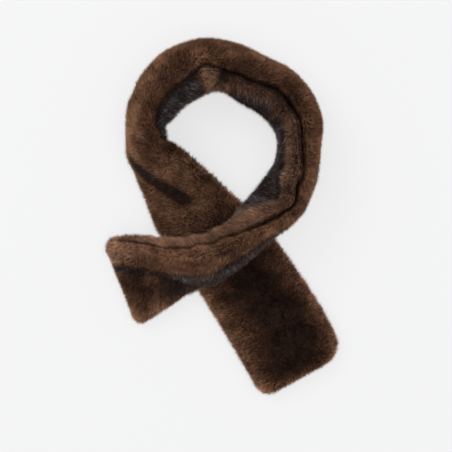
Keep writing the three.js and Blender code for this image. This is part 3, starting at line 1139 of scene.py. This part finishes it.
    def _light(self, s: Array, w: Array, normal: Array, own: Array) -> tuple[Array, Array]:
        """Shares of painted light, which turns a hair from deep shade to light brown, and of grey-blue
        painted sheen in each hair.

        Tops and outer sides get painted light, and so does a rim along the edges and ends of a flat stretch;
        the turn into the seam gap gets painted shade, and the steep sides of a back panel painted sheen.
        Patches, tufts and the zones make it uneven, the zones with more painted light, shade and sheen.

        Args:
            s: distances along the strip.
            w: places across the panel.
            normal: directions in which the surface of the pile faces.
            own: the numbers of each hair's tuft.

        Returns:
            light and frost, from 0 to 1: painted light, low values being painted shade, and painted sheen.
        """
        look, a, up = self.lights, w * self.half_width, normal[:, 2]
        # Painted light on tops and along the rims of a flat stretch, and painted shade where the pile turns
        # into the seam gap.
        by_end = smooth((look.rim_end - np.minimum(s, self.form.length - s)) / look.rim_end_over)
        by_edge = smooth((np.abs(w) - look.rim_from) / look.rim_over)
        rim = np.maximum(by_edge, by_end) * (self.stretch.held == "laid")
        edge = look.edge_at + look.edge_waver[0] * lattice_noise(s, a, look.edge_waver[1], Seed.EDGE)
        light = look.base + look.up * smooth((up + look.up_in[0]) / look.up_in[1]) + look.rim * rim
        light -= look.edge * smooth((np.abs(w) - edge) / look.edge_over)
        light += look.patch[0] * lattice_noise(s, a, look.patch[1], Seed.PATCHES)
        light += look.broad[0] * lattice_noise(s, a, look.broad[1], Seed.BROAD_PATCHES)
        light += look.own * own[:, 3]
        # Painted sheen on the steep sides of a back panel.
        sides = smooth(1 - np.abs(up - look.sheen_at) / look.sheen_reach)
        frost = look.frost * sides * (self.side is Side.BACK)
        # The zones add more painted light, painted shade and painted sheen.
        for zone in ZONES:
            if zone.side is self.side:
                share = zone.share(s, w)
                light, frost = light + zone.light * share, frost + zone.frost * share
        return np.clip(light, 0, 1), np.clip(frost, 0, 1)

    def build_pile(self) -> bpy.types.Object:
        """Builds the hairs as one mesh: short underfur of one triangle each, and bent hairs of three.

        Returns:
            The pile.
        """
        seed = Seed.HAIRS + 10 * STRETCHES.index(self.stretch) + (self.side is Side.BACK)
        rng = np.random.default_rng(seed)
        parts = [self._hairs(kind, rng) for kind in (UNDERFUR, COAT, GUARD)]
        points, faces, marks, start = [], [], [], 0
        for part_points, part_faces, part_marks in parts:
            points.append(part_points)
            faces.append(part_faces + start)
            marks.append(part_marks)
            start += len(part_points)
        pile = put_mesh(f"{self.node}_pile", np.concatenate(points), np.concatenate(faces), 3)
        hair = pile.data.attributes.new("hair", "FLOAT_COLOR", "POINT")
        hair.data.foreach_set("color", np.concatenate(marks).astype(np.float32).ravel())
        pile.data.materials.append(self.materials.pile[self.side])
        return pile

    def _hairs(self, kind: HairKind, rng: np.random.Generator) -> tuple[Array, Array, Array]:
        """Hairs as thin tapering blades from the skin to the surface of the pile.

        A blade has two points at each level but the last, half its width to either side of its line, and
        one point at its tip. Its line runs from the deep layer to the outer one. Its tip moves by the nap,
        by the lean of its tuft, and towards the middle of its tuft. Beside a standing seam the pile is
        longer, and its roots are painted paler there: painted light down to its roots.

        Args:
            kind: what sort of hair.
            rng: the source of chance.

        Returns:
            Points, triangles, and the colour attribute's four numbers for each point.
        """
        s, w, normal, ahead = self._scatter(kind.per_mm2, rng)
        count = len(s)
        tip_depth = rng.uniform(*kind.tips, count)
        beside = self._beside_seam(s, w)
        tip_depth -= self.seam_fill * beside
        to_tuft, own = tuft_at(self._at(s, w, 0.0), self.tuft, Seed.TUFTS)
        drift = kind.clump * to_tuft + kind.lean * own[:, :3] + rng.normal(0, kind.stray, (count, 3))
        along, across = self._nap(s, w)
        drift += along[:, None] * ahead + across[:, None] * np.cross(normal, ahead) * self.side.value
        drift -= (drift * normal).sum(axis=1)[:, None] * normal
        light, frost = self._light(s, w, normal, own)
        light = light + kind.paler
        # Only some hairs take the painted sheen in full; the others take a small share of it.
        frost = np.where(rng.random(count) < kind.sheen_share, frost, self.sheen_elsewhere * frost)
        chance = np.clip(0.5 + self.chance[0] * own[:, 4] + rng.normal(0, self.chance[1], count), 0, 1)
        half = rng.uniform(*kind.width, count) / 2
        turn = rng.uniform(0, np.pi, count)
        levels = []
        for share in np.linspace(0, 1, kind.bends + 1):
            depth = self.root_depth + (tip_depth - self.root_depth) * share
            levels.append(self._at(s, w, depth) + drift * share**self.bow)
        way = levels[-1] - levels[0]
        way /= np.maximum(np.linalg.norm(way, axis=1), 1e-6)[:, None]
        flat = np.cross(way, [0.0, 0.0, 1.0]) + 1e-4
        flat /= np.linalg.norm(flat, axis=1)[:, None]
        broad = flat * np.cos(turn)[:, None] + np.cross(way, flat) * np.sin(turn)[:, None]
        rows, marks = [], []
        for k, level in enumerate(levels[:-1]):
            share = k / kind.bends
            reach = broad * (half * (1 - self.taper * share))[:, None]
            # Beside a standing seam the roots are painted paler, as painted light.
            height = share + (1 - share) * self.seam_pale * beside
            mark = np.stack([height, chance, light, frost], -1)
            rows += [level - reach, level + reach]
            marks += [mark, mark]
        rows.append(levels[-1])
        marks.append(np.stack([np.ones(count), chance, light, frost], -1))
        points = np.stack(rows, 1).reshape(-1, 3)
        points[:, 2] = np.maximum(points[:, 2], self.clear)
        pattern = [[0, 1, 2]] if kind.bends == 1 else [[0, 1, 3], [0, 3, 2], [2, 3, 4]]
        faces = (np.arange(count)[:, None, None] * len(rows) + np.array(pattern)[None]).reshape(-1, 3)
        return points, faces, np.stack(marks, 1).reshape(-1, 4)

    def dress(self) -> None:
        """Builds the skin and its pile, and says what they stand for and how the skin was cut."""
        (skin, flat), pile = self.build_skin(), self.build_pile()
        for piece in (skin, pile):
            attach(piece, "root")
        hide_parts(self.node)
        LOG.info("%s: %d faces, cut %.3f by %.3f m", skin.name, len(skin.data.polygons), *flat)
        LOG.info("%s: %d triangles", pile.name, len(pile.data.polygons))


@dataclass(frozen=True)
class Panel:
    """A square light: its power in watts, size and place in metres, and turn about X and Z in degrees."""

    name: str
    power: float
    size: float
    place: Triple
    turn: Pair


PANELS = (
    Panel("Overhead_Panel", 20.0, 2.0, (0.2, 0.0, 2.2), (0.0, 0.0)),
    Panel("Left_Panel", 14.0, 1.4, (-1.3, 1.1, 1.8), (-43.0, 50.0)),
)


@dataclass
class Studio:
    """A pale surface, soft light from above and a camera that looks straight down.

    pixel: width of a pixel on the surface, in millimetres. frame_pixels: width of the picture. distance,
    aim: height of the camera and what it looks at, in millimetres. floor_reach: half the floor's width.
    """

    pixel: float = 1.25
    frame_pixels: float = 452.0
    distance: float = 1600.0
    sensor: float = 36.0
    aim: Pair = (5.5, -9.75)
    floor_reach: float = 3000.0
    floor_grey: float = 0.235
    floor_rough: float = 0.9
    floor_glow: float = 0.68
    sky_colour: Triple = (0.95, 0.97, 1.0)
    sky_strength: float = 0.5

    def build(self) -> None:
        """Builds the floor, the lights and the camera."""
        self._floor()
        self._lights()
        self._camera()

    def _floor(self) -> None:
        """A wide pale surface that the wrap lies on."""
        corners = np.array([[-1, -1, 0], [1, -1, 0], [1, 1, 0], [-1, 1, 0]], float)
        floor = put_mesh("floor", corners * self.floor_reach, np.array([[0, 1, 2, 3]]), 4)
        material, _, shader = new_material("Pale_Surface")
        shader.inputs["Base Color"].default_value = (self.floor_grey, self.floor_grey, self.floor_grey, 1.0)
        shader.inputs["Roughness"].default_value = self.floor_rough
        shader.inputs["Emission Color"].default_value = (1.0, 1.0, 1.0, 1.0)
        shader.inputs["Emission Strength"].default_value = self.floor_glow
        floor.data.materials.append(material)

    def _lights(self) -> None:
        """An even pale sky, a broad panel overhead, and a smaller one high at the far left."""
        world = bpy.data.worlds.new("Studio")
        bpy.context.scene.world = world
        world.use_nodes = True
        sky = world.node_tree.nodes["Background"]
        sky.inputs["Color"].default_value = (*self.sky_colour, 1.0)
        sky.inputs["Strength"].default_value = self.sky_strength
        for panel in PANELS:
            data = bpy.data.lights.new(panel.name, "AREA")
            data.energy, data.size = panel.power, panel.size
            light = bpy.data.objects.new(panel.name, data)
            light.location = panel.place
            light.rotation_euler = (math.radians(panel.turn[0]), 0.0, math.radians(panel.turn[1]))
            bpy.context.scene.collection.objects.link(light)

    def _camera(self) -> None:
        """A long lens straight above: sensor times distance over the width that the picture shows."""
        data = bpy.data.cameras.new("Camera")
        data.sensor_width = self.sensor
        data.lens = self.sensor * self.distance / (self.pixel * self.frame_pixels)
        camera = bpy.data.objects.new("Camera", data)
        camera.location = (self.aim[0] * MM, self.aim[1] * MM, self.distance * MM)
        bpy.context.scene.collection.objects.link(camera)
        bpy.context.scene.camera = camera


def main() -> None:
    """Builds the studio and then every panel of the wrap."""
    logging.basicConfig(level=logging.INFO, format="%(message)s")
    bpy.context.scene.view_settings.view_transform = "Standard"
    Studio().build()
    form = StripForm()
    materials = FurMaterials()
    for stretch in STRETCHES:
        for side in Side:
            FurPanel(form, side, stretch, materials).dress()


if __name__ == "__main__":
    main()
